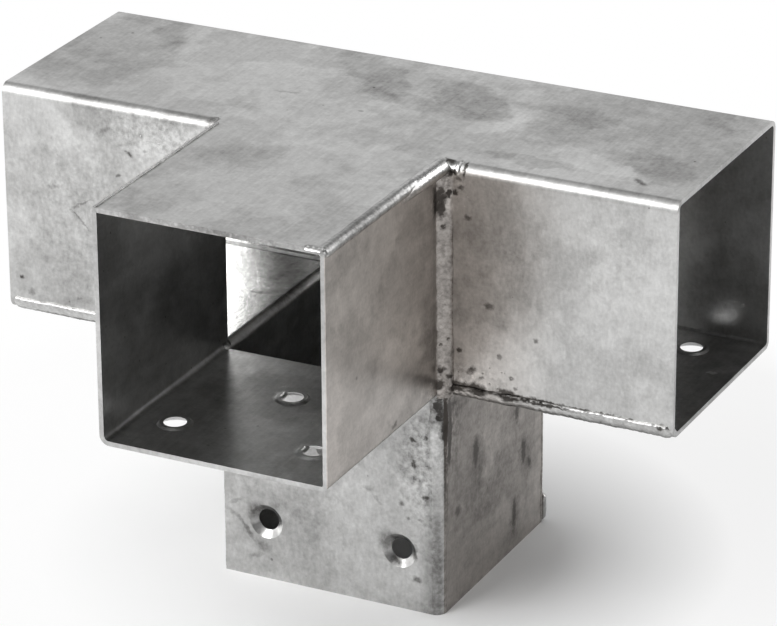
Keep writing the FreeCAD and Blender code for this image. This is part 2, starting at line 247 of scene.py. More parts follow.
# From which random number up a cell has one, and the smallest and largest radius, in cells
PINHOLE_RADIUS = (0.45, 1.0, 0.0, 0.09)
# How far in it is full, in cells, and how dark that is
PINHOLE_DARK = (0.0, 0.03, 0.0, 0.35)


def pinholes(tree, mm):
    """How much the pinholes darken the zinc."""
    cells = add(tree, "ShaderNodeTexVoronoi", {"Vector": mm, "Scale": 1 / PINHOLE_MM})
    chance = add(tree, "ShaderNodeSeparateColor", cells.outputs["Color"])
    radius = add(tree, RANGE, chance, *PINHOLE_RADIUS)
    hole = add(tree, MATH, radius, cells.outputs["Distance"], operation="SUBTRACT")
    return add(tree, RANGE, hole, *PINHOLE_DARK)


print("widest pinhole:", round(2 * PINHOLE_MM * PINHOLE_RADIUS[3], 2), "mm")

# %% [markdown]
# ## Marks
# What makes this coat look real is its marks: dark runs, drops, scratches, burnt flux and craters beside
# the welds. Some marks are painted shade, painted highlights and painted reflections instead, and say so
# where they stand. They could be painted on an image, but an image has only so many pixels and has to be
# laid over every fold. Here each mark is an ellipsoid with a centre, radii, a turn and a strength, so it
# lies in the right place on the solid and stays sharp from close by. Noise moves each place a little before
# it is measured, so no edge is a clean curve: large clouds get wandering edges, small pits uneven ones.

# %% Marks
# Centre and radii in mm, turn about each axis in degrees, and how much darker (below zero: brighter)
MARKS = {
    "top_sheet": (
        # Clouds and spots of the top
        ((0, 6, 150), (150, 42, 6), (0, 0, 0), 0.05),
        ((-98, 2, 150), (22, 36, 6), (0, 0, 0), 0.16),
        ((-87, 24, 150), (5, 12, 6), (0, 0, 20), 0.13),
        ((-56, 20, 150), (24, 14, 6), (0, 0, 0), -0.06),
        ((-13, 20, 150), (24, 8, 6), (0, 0, -44), 0.20),
        ((23, 13, 150), (21, 9, 6), (0, 0, -40), 0.20),
        ((14, 2, 150), (24, 5, 6), (0, 0, -8), 0.13),
        ((58, 13, 150), (14, 8, 6), (0, 0, -10), 0.14),
        ((60, -26, 150), (15, 3.6, 6), (0, 0, -5), 0.17),
        ((99, -16, 150), (14, 8, 6), (0, 0, -30), 0.14),
        ((102, 30, 150), (12, 8, 6), (0, 0, 0), 0.12),
        ((76, -18, 150), (17, 5.5, 6), (0, 0, -22), -0.16),
        ((39, -3, 150), (4.5, 12, 6), (0, 0, -25), -0.12),
        ((-18, -60, 150), (14, 9, 6), (0, 0, 0), 0.09),
        ((26, -42, 150), (9, 16, 6), (0, 0, 0), 0.09),
        ((-28, -97, 150), (14, 14, 6), (0, 0, 0), 0.09),
        ((-4, -84, 150), (40, 40, 6), (0, 0, 0), 0.10),
        ((88, 8, 150), (40, 34, 6), (0, 0, 0), 0.11),
        ((96.2, -27, 150), (3.2, 1.1, 3), (0, 0, -38), 0.55),
        ((48.4, 36.2, 150), (1.5, 0.9, 3), (0, 0, -20), 0.60),
        ((-2.5, -10.8, 150), (0.9, 0.8, 3), (0, 0, 0), 0.35),
        ((-30, -6, 150), (3.6, 0.8, 3), (0, 0, 12), 0.26),
        ((-36, -86, 150), (0.4, 27, 2), (0, 0, 0), 0.16),
        # The broken end of the right fold, beside its weld
        ((38.9, -35.6, 150), (2.2, 0.9, 3), (0, 0, -35), 0.95),
        ((44.7, -36.8, 148.6), (0.5, 3, 3.2), (0, 0, 0), 0.7),
        ((42.9, -37.5, 145.6), (1.2, 2, 0.7), (0, 0, 0), 0.55),
        # Left arm's front: low shade, scratches, pits
        ((-84, -37.5, 82), (46, 4, 22), (0, 0, 0), 0.10),
        ((-82, -37.5, 145), (14, 6, 5), (0, 12, 0), 0.12),
        ((-86.3, -37.5, 109.6), (4.6, 3, 0.45), (0, 43, 0), 0.34),
        ((-85.2, -37.5, 114.9), (4.9, 3, 0.4), (0, -29, 0), 0.26),
        ((-68.1, -37.5, 134.3), (1.5, 3, 0.7), (0, 35, 0), 0.50),
        ((-62.5, -37.5, 136.2), (0.9, 3, 0.5), (0, -20, 0), 0.42),
        ((-72.1, -37.5, 126.6), (1.0, 3, 0.5), (0, -20, 0), 0.36),
        ((-95.2, -37.5, 119), (2.8, 3, 0.6), (0, -12, 0), 0.26),
        ((-77.3, -37.5, 139.8), (3, 3, 1.1), (0, -35, 0), 0.22),
        ((-108, -37.5, 86.5), (0.9, 3, 0.9), (0, 0, 0), 0.60),
        ((-104.5, -37.5, 82.1), (1.2, 3, 1.2), (0, 0, 0), 0.26),
        ((-87.4, -37.5, 82.8), (0.9, 3, 0.9), (0, 0, 0), 0.26),
        # Right arm's front: heat cloud, light foot, pits, the painted shade of the undercut above the bead
        ((51, -37.5, 116), (16, 4, 20), (0, 0, 0), 0.10),
        ((56, -37.5, 90), (17, 4, 9), (0, 28, 0), -0.18),
        ((41.6, -37.5, 141), (1.1, 3, 1.1), (0, 0, 0), 0.8),
        ((43.6, -37.5, 143), (0.9, 3, 0.9), (0, 0, 0), 0.5),
        ((46, -37.5, 133.7), (1.2, 3, 0.9), (0, 0, 0), 0.45),
        ((53, -37.5, 106.7), (1.7, 3, 1.1), (0, 0, 0), 0.36),
        ((69.5, -37.5, 109.6), (1.5, 3, 3), (0, 0, 0), 0.16),
        ((68.3, -37.5, 98.4), (0.9, 3, 0.8), (0, 0, 0), 0.6),
        ((43.2, -37.5, 90.6), (0.9, 3, 0.8), (0, 0, 0), 0.6),
        ((56.5, -37.5, 91.2), (0.8, 3, 0.9), (0, 0, 0), 0.55),
        ((47.3, -37.5, 84.8), (1.1, 3, 1.8), (0, 25, 0), 0.6),
        ((60.3, -37.5, 84.7), (0.9, 3, 0.7), (0, 0, 0), 0.55),
        ((50.3, -37.5, 83), (0.9, 3, 0.8), (0, 0, 0), 0.5),
        ((61.9, -37.5, 81.6), (0.7, 3, 0.7), (0, 0, 0), 0.5),
        ((44, -37.5, 79.3), (6, 3, 1.0), (0, 3, 0), 0.6),
        ((49.2, -37.5, 79.6), (2.6, 3, 1.5), (0, 8, 0), 0.75),
        ((59.2, -37.5, 79.6), (3.6, 3, 1.3), (0, 10, 0), 0.75),
        ((70, -37.5, 79.2), (12, 3, 0.7), (0, 1, 0), 0.7),
        ((88, -37.5, 79.1), (9, 3, 0.45), (0, 0, 0), 0.6),
        ((99.3, -37.5, 79.2), (0.9, 3, 0.5), (0, 0, 0), 0.6),
        ((108.6, -37.5, 79), (1.0, 3, 0.7), (0, 0, 0), 0.7),
        # Painted light on the inner back wall, in blotches
        ((104, 36, 86), (8, 3, 8), (0, 0, 0), -0.3),
        ((89, 36, 106), (7, 3, 6), (0, 0, 0), -0.15),
        # The front rim, which faces the shade of the mouth
        ((0, -112.6, 149.3), (40, 0.4, 1.6), (0, 0, 0), 0.25),
    ),
    "branch_sheet": (
        # Its right wall by the upright weld: a pit, the painted shade of the undercut along the weld's toe,
        # darker bands and clouds
        ((37.5, -42, 138), (3, 1.6, 4.6), (0, 0, 0), 0.45),
        ((37.5, -42.6, 112), (3, 0.9, 40), (0, 0, 0), 0.1),
        ((37.5, -46, 120), (3, 6, 36), (0, 0, 0), 0.10),
        ((37.5, -70.2, 128.1), (3, 5, 5), (0, 0, 0), 0.08),
        ((37.5, -66, 92), (3, 24, 3.5), (25, 0, 0), 0.08),
        ((37.5, -92, 92), (3, 20, 16), (0, 0, 0), -0.06),
        ((37.5, -98, 128), (6, 24, 18), (0, 0, 0), 0.10),
        ((37.5, -54, 100), (6, 12, 16), (0, 0, 0), 0.08),
        # Painted shade on its floor inside; a pit, and a dark line along the right wall's lower edge
        ((-4, -64, 76.5), (26, 16, 6), (0, 0, 0), 0.16),
        ((37.5, -93.4, 103.3), (3, 0.8, 0.8), (0, 0, 0), 0.3),
        ((37.5, -75, 75.4), (3, 34, 0.8), (0, 0, 0), 0.45),
        ((37.5, -69.4, 78.2), (3, 1.8, 0.8), (25, 0, 0), 0.45),
        # Painted glints on the raised rims of two floor screws
        ((-4.4, -61.5, 77), (1.8, 3.2, 2), (0, 0, 0), -0.7),
        ((3.6, -65.4, 77), (2.0, 1.2, 2), (0, 0, 20), -0.4),
        ((18.8, -92, 77), (1.9, 3.2, 2), (0, 0, 0), -0.7),
        ((24, -97, 77), (3.2, 1.2, 2), (0, 0, 20), -0.4),
        # Post front: painted shade over the face, more at its lower left; burnt flux in the countersinks, swirls
        # beside the left screw, pits
        ((0, -37.5, 52), (60, 5, 38), (0, 0, 0), 0.10),
        ((-32, -37.5, 30), (12, 6, 18), (0, 0, 0), 0.10),
        ((-26.4, -37, 21.8), (3.2, 3, 3.8), (0, 20, 0), 0.44),
        ((19.6, -37, 21.6), (3.2, 3, 4.2), (0, 20, 0), 0.46),
        ((21.4, -37, 15.6), (2.2, 3, 1.0), (0, 35, 0), 0.6),
        ((28.2, -37, 19.6), (1.0, 3, 2.6), (0, 0, 0), 0.6),
        ((-34.5, -37.5, 20.4), (3.2, 3, 0.8), (0, 30, 0), 0.26),
        ((-33.4, -37.5, 24.6), (2.6, 3, 0.7), (0, -30, 0), 0.24),
        ((-29.5, -37.5, 15.3), (4.4, 3, 0.8), (0, 55, 0), 0.30),
        ((-24, -37.5, 11), (3.2, 3, 1.7), (0, 30, 0), 0.28),
        ((-27, -37.5, 7), (3.0, 3, 0.8), (0, -20, 0), 0.22),
        ((12.6, -37.5, 38.6), (1.8, 3, 1.0), (0, 0, 0), 0.3),
        ((15.4, -37.5, 35.6), (2.2, 3, 0.6), (0, 45, 0), 0.24),
        ((27.7, -37.5, 57.9), (1.2, 3, 0.9), (0, 0, 0), 0.6),
        ((32.1, -37.5, 59.4), (0.8, 3, 0.7), (0, 0, 0), 0.5),
        ((28.1, -37.5, 49.8), (0.8, 3, 1.5), (0, 0, 0), 0.5),
        ((28.4, -37.5, 45.3), (0.8, 3, 1.2), (0, 0, 0), 0.45),
        ((23.8, -37.5, 35.9), (0.9, 3, 0.8), (0, 0, 0), 0.4),
        ((31.8, -37.5, 39.2), (1.2, 3, 0.8), (0, 0, 0), 0.4),
        ((30.3, -37.5, 31.2), (1.1, 3, 0.6), (0, 0, 0), 0.4),
        ((26.1, -37.5, 31.1), (0.8, 3, 0.7), (0, 0, 0), 0.35),
        ((29.1, -37.5, 10.8), (1.5, 3, 1.1), (0, 0, 0), 0.6),
        ((8, -37.5, 34), (12, 4, 9), (0, 0, 0), -0.06),
        ((33, -37.5, 68), (3, 3, 8), (0, 0, 0), 0.2),
        # Painted shade along the post's front corner, where a rounder corner would turn away from the light
        ((37.5, -37.5, 10), (6.2, 3, 36), (0, 0, 0), 0.5),
    ),
    "right_arm_sheet": (
        # The post's right side: dark runs, painted shade under the arm and along its front corner, a pit, clouds,
        # a lighter back edge
        ((37.5, -13.4, 46), (3, 1.7, 5.0), (0, 0, 0), 0.32),
        ((37.5, -12.4, 42), (3, 4.4, 9), (12, 0, 0), 0.18),
        ((37.5, 21.5, 31.5), (3, 1.5, 4.2), (0, 0, 0), 0.38),
        ((37.5, 23, 29), (3, 4.2, 8.5), (20, 0, 0), 0.18),
        ((37.5, 26, 25), (3, 1.4, 3.2), (25, 0, 0), 0.26),
        ((37.5, 14.6, 11.4), (3, 1.5, 5.4), (0, 0, 0), 0.36),
        ((37.5, 15.4, 10), (3, 4.0, 9), (0, 0, 0), 0.16),
        ((37.5, 16.4, 46.6), (3, 1.3, 3.6), (0, 0, 0), 0.30),
        ((37.5, 15.6, 49), (3, 3.4, 7), (0, 0, 0), 0.16),
        ((37.5, -24, 70), (3, 9, 6), (0, 0, 0), 0.16),
        ((37.5, -33.9, 56), (3, 0.8, 28), (0, 0, 0), 0.26),
        ((37.5, -26.2, 30.8), (3, 2.0, 2), (0, 0, 0), 0.38),
        ((37.5, -32.2, 60), (3, 1.4, 10), (0, 0, 0), 0.7),
        ((37.5, -5, 26), (3, 9, 12), (0, 0, 0), 0.08),
        ((37.5, 4, 66), (3, 30, 8), (0, 0, 0), 0.05),
        ((37.5, 33.5, 36), (4, 4, 30), (0, 0, 0), -0.10),
        ((37.5, -3, 20), (6, 24, 18), (0, 0, 0), 0.07),
        # The arm's floor: darker, and a painted glint by a screw hole
        ((104, 0, 76.5), (20, 34, 6), (0, 0, 0), 0.2),
        ((105.4, 9.1, 76.5), (1.3, 1.0, 3), (0, 0, 0), -0.9),
    ),
    "left_arm_sheet": (
        # Its floor: a painted reflection, a dark strip beside the weld and a bright one beside that; spots
        ((-39.5, 9, 77.5), (7, 60, 3), (0, 0, 27), 0.5),
        ((-58, 3, 77.5), (10, 60, 3), (0, 0, 27), -0.25),
        ((-47, 4, 76.5), (2.6, 1.3, 3), (0, 0, 20), 0.35),
        ((-49.5, -1.5, 76.5), (1.2, 0.8, 3), (0, 0, 20), 0.3),
    ),
    "weld_metal": (
        # The burnt corner under the top, and its pits
        ((38.2, -41, 139.8), (2.2, 1.9, 3.4), (0, 0, 0), 0.75),
        ((38.5, -40.7, 136), (1.9, 1.6, 2.6), (0, 0, 0), 0.55),
        ((38.4, -41.4, 138), (0.9, 0.8, 1.3), (0, 0, 0), -0.45),
        ((39.3, -39.3, 104), (6, 6, 38), (0, 0, 0), 0.26),
        ((39.6, -39.4, 143.8), (2.2, 2.2, 3.0), (0, 0, 0), 0.2),
        ((39, -40, 131), (0.9, 0.9, 0.8), (0, 0, 0), 0.6),
        ((40.5, -38.6, 141), (1.0, 1.0, 1.1), (0, 0, 0), 0.8),
        ((38.4, -40.2, 93), (0.8, 0.8, 0.8), (0, 0, 0), 0.6),
        ((38.6, -40.2, 84.6), (1.2, 1.2, 1.4), (0, 0, 0), 0.7),
        ((40.4, -38.4, 82.4), (1.4, 1.4, 1.0), (0, 0, 0), 0.7),
        ((38.2, -40.8, 80), (1.5, 1.5, 1.6), (0, 0, 0), 0.7),
        ((40, -38.8, 95), (0.8, 0.8, 0.8), (0, 0, 0), 0.5),
        # Painted highlights on the beads along the branch's top, on the left and near the crown on the right, and
        # painted shade further along the right
        ((-37.6, -84, 149.6), (1.4, 34, 1.4), (0, 0, 0), -0.3),
        ((38, -46, 149.6), (2.6, 9, 1.6), (0, 0, 0), -0.3),
        ((37.5, -88, 149), (4, 26, 3), (0, 0, 0), 0.32),
        # The dull left notch, and painted shade on the foot of the bead under that arm, which faces down
        ((-39.2, -36.4, 148.8), (3.2, 2.8, 2.8), (0, 0, 0), 0.42),
        ((-76, -35.8, 75.3), (42, 1.8, 1.2), (0, 0, 0), 0.6),
        # The broken notch
        ((39.6, -35.4, 150), (1.9, 1.0, 1.4), (0, 0, -35), 0.9),
        ((40.6, -37.8, 147.2), (1.6, 1.2, 1.0), (0, 0, 0), 0.7),
        ((38.2, -39.4, 146.4), (2.6, 1.4, 1.2), (0, 0, 0), 0.5),
        # Painted shade of the undercut above the right arm's lower bead, and on that bead's foot, which faces
        # down
        ((42, -37.6, 78.3), (5, 1.6, 0.8), (0, 3, 0), 0.7),
        ((49.6, -37.6, 78.3), (3, 1.6, 1.2), (0, 0, 0), 0.75),
        ((59.5, -37.6, 78.3), (4, 1.6, 1.0), (0, 4, 0), 0.75),
        ((70, -37.8, 78.5), (12, 1.4, 0.5), (0, 1, 0), 0.7),
        ((74, -36.2, 75.3), (44, 1.8, 1.1), (0, 0, 0), 0.5),
        ((108.6, -37.6, 78.2), (1.0, 1.4, 0.8), (0, 0, 0), 0.8),
        # Painted shade along the post's front corner, where a rounder corner would turn away from the light, and
        # its burnt head
        ((36, -37.6, 10), (3.4, 2.2, 34), (0, 0, 0), 0.46),
        ((37.4, -34.9, 56), (1.6, 0.9, 28), (0, 0, 0), 0.3),
        ((36.6, -36.6, 75.5), (3.4, 3.4, 2.4), (0, 0, 0), 0.7),
        ((37.2, -35.6, 68), (2.0, 2.6, 5.5), (0, 0, 0), 0.5),
        ((37.4, -34.8, 61.6), (1.6, 2.2, 3.4), (0, 0, 0), 0.85),
        ((34.8, -37.3, 70), (2.8, 2.4, 7.0), (0, 0, 0), 0.36),
        ((35.4, -37.4, 70.6), (0.9, 0.9, 1.2), (0, 0, 0), 0.6),
        ((36, -37.2, 66.4), (0.9, 0.9, 1.0), (0, 0, 0), 0.8),
    ),
}
print("marks:", {name: len(rows) for name, rows in MARKS.items()})

# %% Rough zinc
# Rough places, most of them beside a weld: centre and radii in mm, and how strong the speckle is
SPECKLED = {
    "top_sheet": (
        ((46, -37.5, 81), (13, 3, 7), 0.9),
        ((40, -37.5, 143), (6, 3, 8), 0.7),
        ((-55, -37.5, 142), (24, 3, 9), 0.9),
        ((-80, -37.5, 112), (40, 3, 36), 0.45),
        ((90, -37.5, 128), (20, 3, 20), 0.25),
        ((44, 10, 150), (84, 44, 4), 0.17),
    ),
    "branch_sheet": (
        ((31, -37.5, 50), (9, 3, 24), 0.9),
        ((0, -37.5, 36), (50, 3, 50), 0.25),
        ((37.5, -45, 78), (3, 6, 5), 0.8),
        ((37.5, -43, 142), (3, 5, 8), 0.6),
    ),
    "right_arm_sheet": (
        ((37.5, -30, 60), (3, 6, 18), 0.7),
        ((37.5, 5, 40), (3, 36, 40), 0.3),
    ),
    "left_arm_sheet": (
        ((-50, 0, 76.5), (10, 20, 3), 0.3),
    ),
    "weld_metal": (
        ((38, -38, 76), (6, 6, 6), 0.9),
        ((38, -38, 144), (6, 6, 7), 0.9),
        ((36, -36, 62), (4, 4, 20), 0.8),
    ),
}
print("rough places:", {name: len(rows) for name, rows in SPECKLED.items()})

# %% Adding the marks up
# A mark with all its radii over this many mm is a cloud, and any other a pit
CLOUD_RADIUS = 3.5
# Size of the noise that moves a place, and how far it moves it each way, in mm
WANDER_MM, WANDER_REACH = 7.0, 7.0
UNEVEN_MM, UNEVEN_REACH = 1.5, 1.1
# Where a mark's edge begins and where it is full, in radii
CLOUD_EDGE, PIT_EDGE, ROUGH_EDGE = (1.12, 0.84), (1.3, 0.5), (1.2, 0.3)
SPECKLE_MM, SPECKLE_SHOWS, BLOTCHES_SHOW = 1.9, 1.6, 0.7


def moved_by(tree, mm, noise, reach):
    """The same place, moved by a noise's colour by up to this many mm each way."""
    colour = noise.outputs["Color"]
    off = add(tree, VECTOR_MATH, colour, (2 * reach,) * 3, (-reach,) * 3, operation="MULTIPLY_ADD")
    return add(tree, VECTOR_MATH, mm, off, operation="ADD")


def inside(tree, spot, centre, radii, turn, edge):
    """1 inside an ellipsoid and 0 outside it, with a soft edge."""
    turn = tuple(math.radians(angle) for angle in turn)
    local = add(tree, "ShaderNodeMapping", {"Vector": spot, "Location": centre, "Rotation": turn,
                                            "Scale": radii}, vector_type="TEXTURE")
    away = add(tree, VECTOR_MATH, local, operation="LENGTH").outputs["Value"]
    return add(tree, RANGE, away, *edge)


def marked(tree, mm, name, pits, bright):
    """Adds this name's marks and rough places. Returns the pits, the speckle and the new brightness."""
    wander = add(tree, NOISE, {"Vector": mm, "Scale": 1 / WANDER_MM, "Detail": 4.0, "Roughness": 0.6})
    uneven = add(tree, NOISE, {"Vector": mm, "Scale": 1 / UNEVEN_MM, "Detail": 2.0})
    strayed, shaken = moved_by(tree, mm, wander, WANDER_REACH), moved_by(tree, mm, uneven, UNEVEN_REACH)
    for centre, radii, turn, amount in MARKS[name]:
        if min(radii) > CLOUD_RADIUS:
            cloud = inside(tree, strayed, centre, radii, turn, CLOUD_EDGE)
            bright = add(tree, MATH, cloud, -amount, bright, operation="MULTIPLY_ADD")
        else:
            pit = inside(tree, shaken, centre, radii, turn, PIT_EDGE)
            pits = add(tree, MATH, pit, amount, pits, operation="MULTIPLY_ADD")
    bright = add(tree, MATH, bright, pits, operation="SUBTRACT")

    # Rough zinc: one speckle and the blotches of the slow noise, let through only at the rough places
    rough = 0.0
    for centre, radii, strength in SPECKLED[name]:
        here = inside(tree, shaken, centre, radii, (0, 0, 0), ROUGH_EDGE)
        rough = add(tree, MATH, here, strength, rough, operation="MULTIPLY_ADD")
    fine = add(tree, NOISE, {"Vector": mm, "Scale": 1 / SPECKLE_MM, "Detail": 3.0, "Roughness": 0.7})
    speckle = add(tree, MATH, add(tree, MATH, fine, 0.5, operation="SUBTRACT"), rough, operation="MULTIPLY")
    blotches = add(tree, MATH, add(tree, MATH, wander, 0.5, operation="SUBTRACT"), rough, operation="MULTIPLY")
    bright = add(tree, MATH, speckle, SPECKLE_SHOWS, bright, operation="MULTIPLY_ADD")
    return pits, speckle, add(tree, MATH, blotches, BLOTCHES_SHOW, bright, operation="MULTIPLY_ADD")


print("clouds:", sum(min(row[1]) > CLOUD_RADIUS for rows in MARKS.values() for row in rows))

# %% [markdown]
# ## Heat, painted light and shade, folds and weld metal
# The rest follows from how the part was made and from where light falls, so it can be read from a place
# alone. Heat and flux from the upright weld darken the faces to its right and give them a warm cast, and
# painted shade darkens its inner corner further. The post's right side is painted darker, as shade. A fold
# is duller than a flat. The left arm's inner wall and floor are the smoothest, and are painted lighter, as
# light that falls in through its mouth. Weld metal is coarser, and the valleys and toes of a bead are
# painted darker, as shade: each bead carries both as numbers on its own mesh.

# %% Heat beside the upright weld, and painted shade
# Half of a socket's outer side and of its inside, and heights: top, and an arm's floor outside and inside
OUTER, INNER, TOP, ARM_FOOT, ARM_FLOOR = 37.5, 36.0, 150.0, 75.0, 76.5
# How far from the upright weld there is neither heat mark nor painted corner shade, and where both are full
HEAT_REACH = (42, 4)
# How much the heat mark with its painted corner shade darkens, and how much painted shade darkens the post's
# right side
HEAT_AND_CORNER_SHADE_DARKER, POST_RIGHT_SHADE_DARKER = 0.12, 0.20


def heated(tree, mm, xyz, bright):
    """Where the warm cast lies, and the brightness with what heat and painted shade take from it."""
    x, y, z = xyz
    flat = add(tree, VECTOR_MATH, mm, (1, 1, 0), operation="MULTIPLY")
    gap = add(tree, VECTOR_MATH, flat, (OUTER, -OUTER, 0), operation="DISTANCE").outputs["Value"]
    heat = add(tree, RANGE, gap, *HEAT_REACH, interpolation_type="SMOOTHSTEP")
    outside_right = add(tree, MATH, x, OUTER - 0.3, operation="GREATER_THAN")
    under_top = add(tree, RANGE, z, TOP - 1.4, TOP - 2.6)
    side_face = add(tree, MATH, outside_right, under_top, operation="MULTIPLY")
    right_wall = add(tree, MATH, add(tree, RANGE, x, OUTER + 0.8, OUTER + 0.1), side_face, operation="MULTIPLY")
    before_back = add(tree, RANGE, y, OUTER - 0.3, OUTER - 1.3)
    right_wall = add(tree, MATH, before_back, right_wall, operation="MULTIPLY")
    heat = add(tree, MATH, heat, side_face, operation="MULTIPLY")
    # Darker by the upright weld: heat tint, and painted shade in the inner corner
    bright = add(tree, MATH, heat, -HEAT_AND_CORNER_SHADE_DARKER, bright, operation="MULTIPLY_ADD")
    # Painted shade on the post's right side, below the arms
    below_arms = add(tree, RANGE, z, ARM_FOOT + 1, ARM_FOOT - 1)
    post_right_shade = add(tree, MATH, below_arms, right_wall, operation="MULTIPLY")
    bright = add(tree, MATH, post_right_shade, -POST_RIGHT_SHADE_DARKER, bright, operation="MULTIPLY_ADD")
    return add(tree, MATH, heat, right_wall, operation="MAXIMUM"), bright


print("heat marks reach", HEAT_REACH[0], "mm from the weld")

# %% What differs on sheets, and on weld metal
# Roughness of a sheet, from dark to bright clouds, and what folds and smooth places add to it
SHEET_DULLNESS = (0.3, 0.7, 0.28, 0.38)
# Folds are darker too. Smooth places are painted lighter (a darkness below zero), as light that falls in through
# the left arm's mouth
FOLD_DULLER, FOLD_DARKER, SMOOTH_DULLER, SMOOTH_PAINTED_LIGHT_DARKER = 0.12, 0.14, -0.17, -0.10
WELD_DULLNESS, PIT_DULLER = 0.34, 0.3
# How strongly ripples show as painted shade in their valleys. A bead's toe: where it begins and is full, from its
# middle at 0 to its edge at 1, and how much painted shade darkens it
RIPPLE_SHADE_SHOWS, TOE, TOE_SHADE_DARKER = 0.10, (0.72, 1.0), 0.14
# How far from the front's plane a fold's dull band ends and is full, and the same for its height
FOLD_BAND, FOLD_HEIGHT = (3.4, 2.2), (TOP - 3.6, TOP - 2.6)
# How far to the left the smooth zinc, painted lighter, begins and is full, and how near to a wall a place lies on
# it
SMOOTH_FROM, TOUCH = (-12, -42), 0.3


def on_sheet(tree, xyz, clouds, bright):
    """A sheet's roughness, and its brightness with folds, and with smooth places painted lighter as light."""
    x, y, z = xyz
    dullness = add(tree, RANGE, clouds, *SHEET_DULLNESS)
    from_front = add(tree, MATH, add(tree, MATH, y, OUTER, operation="ADD"), operation="ABSOLUTE")
    fold = add(tree, MATH, add(tree, RANGE, from_front, *FOLD_BAND), add(tree, RANGE, z, *FOLD_HEIGHT),
               operation="MULTIPLY")
    on_arm = add(tree, MATH, add(tree, MATH, x, operation="ABSOLUTE"), OUTER + 1, operation="GREATER_THAN")
    fold = add(tree, MATH, fold, on_arm, operation="MULTIPLY")
    wall = add(tree, MATH, y, INNER, TOUCH, operation="COMPARE")
    floor = add(tree, MATH, add(tree, MATH, z, ARM_FLOOR, TOUCH, operation="COMPARE"), on_arm,
                operation="MULTIPLY")
    # Smooth places on the left, the inner back wall and the arm's floor, are painted lighter, as light from the
    # arm's mouth
    leftwards = add(tree, RANGE, x, *SMOOTH_FROM, interpolation_type="SMOOTHSTEP")
    smooth = add(tree, MATH, add(tree, MATH, wall, floor, operation="MAXIMUM"), leftwards, operation="MULTIPLY")
    for place, duller, darker in ((fold, FOLD_DULLER, FOLD_DARKER), (smooth, SMOOTH_DULLER, SMOOTH_PAINTED_LIGHT_DARKER)):
        dullness = add(tree, MATH, place, duller, dullness, operation="MULTIPLY_ADD")
        bright = add(tree, MATH, place, -darker, bright, operation="MULTIPLY_ADD")
    return dullness, bright


def on_weld(tree, pits, bright):
    """Weld metal's roughness, and its brightness with painted shade in the valleys of a bead's ripples and at its
    toes.
    """
    ripple = add(tree, "ShaderNodeAttribute", attribute_name="ripple").outputs["Fac"]
    # Painted shade in the valleys of the ripples, then at the toes
    bright = add(tree, MATH, ripple, RIPPLE_SHADE_SHOWS, bright, operation="MULTIPLY_ADD")
    side = add(tree, "ShaderNodeAttribute", attribute_name="side").outputs["Fac"]
    bright = add(tree, MATH, add(tree, RANGE, side, *TOE), -TOE_SHADE_DARKER, bright, operation="MULTIPLY_ADD")
    return add(tree, MATH, pits, PIT_DULLER, WELD_DULLNESS, operation="MULTIPLY_ADD"), bright


print("roughness of sheets:", SHEET_DULLNESS[2:], "and of welds:", WELD_DULLNESS)

# %% [markdown]
# ## The whole material
# The number gathered so far picks the colour. The same patterns also give the surface its relief, in
# millimetres, which breaks up reflections as frozen zinc does.

# %% The zinc material
ZINC_DARK, ZINC_BRIGHT = "#545250", "#DCDCDB"
# The warm cast, by which the colour is multiplied
HEAT_CAST = "#FFF8F3"
# How high each pattern stands, in mm
CLOUD_RISE, MOTTLE_RISE, GRAIN_RISE, SPECKLE_RISE = 0.20, 0.06, 0.02, 0.25
PIT_RISE, PINHOLE_RISE = -0.25, -0.15


def zinc(name, kind):
    """Hot-dip galvanised steel with the marks and rough places listed under this name."""
    material = bpy.data.materials.new(f"hot-dip galvanised {name}")
    material.use_nodes = True
    tree = material.node_tree
    tree.nodes.clear()
    spot = add(tree, "ShaderNodeTexCoord").outputs["Object"]
    mm = add(tree, VECTOR_MATH, spot, (1 / MM,) * 3, operation="MULTIPLY")
    xyz = add(tree, SPLIT, mm).outputs
    clouds, mottle, grain, bright = patterns(tree, mm, kind)
    holes = pinholes(tree, mm)
    pits, speckle, bright = marked(tree, mm, name, holes, bright)
    cast, bright = heated(tree, mm, xyz, bright)
    if kind is WELD:
        dullness, bright = on_weld(tree, pits, bright)
        sunk = (pits, PIT_RISE)
    else:
        dullness, bright = on_sheet(tree, xyz, clouds, bright)
        sunk = (holes, PINHOLE_RISE)

    relief = add(tree, MATH, clouds, CLOUD_RISE, operation="MULTIPLY")
    for pattern, rise in ((mottle, MOTTLE_RISE * kind["relief"]), (grain, GRAIN_RISE * kind["relief"]),
                          (speckle, SPECKLE_RISE), sunk):
        relief = add(tree, MATH, pattern, rise, relief, operation="MULTIPLY_ADD")
    bump = add(tree, "ShaderNodeBump", {"Height": relief, "Distance": MM, "Strength": 1.0})
    tone = add(tree, MIX, {0: bright, 6: linear(ZINC_DARK), 7: linear(ZINC_BRIGHT)}, data_type="RGBA")
    tinted = add(tree, MIX, {0: cast, 6: tone.outputs[2], 7: linear(HEAT_CAST)}, data_type="RGBA",
                 blend_type="MULTIPLY")
    coat = add(tree, "ShaderNodeBsdfPrincipled", {"Base Color": tinted.outputs[2], "Metallic": 1.0,
                                                  "Roughness": dullness, "Normal": bump})
    add(tree, "ShaderNodeOutputMaterial", coat)
    print(material.name, "nodes:", len(tree.nodes))
    return material


materials = {name: zinc(name, WELD if name == "weld_metal" else SHEET) for name in MARKS}
weld_zinc = materials["weld_metal"]

# %% Sheets and plain welds get their zinc
for name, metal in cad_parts.items():
    metal.data.materials.clear()
    metal.data.materials.append(materials.get(name, weld_zinc))
print("coated:", len(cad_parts))

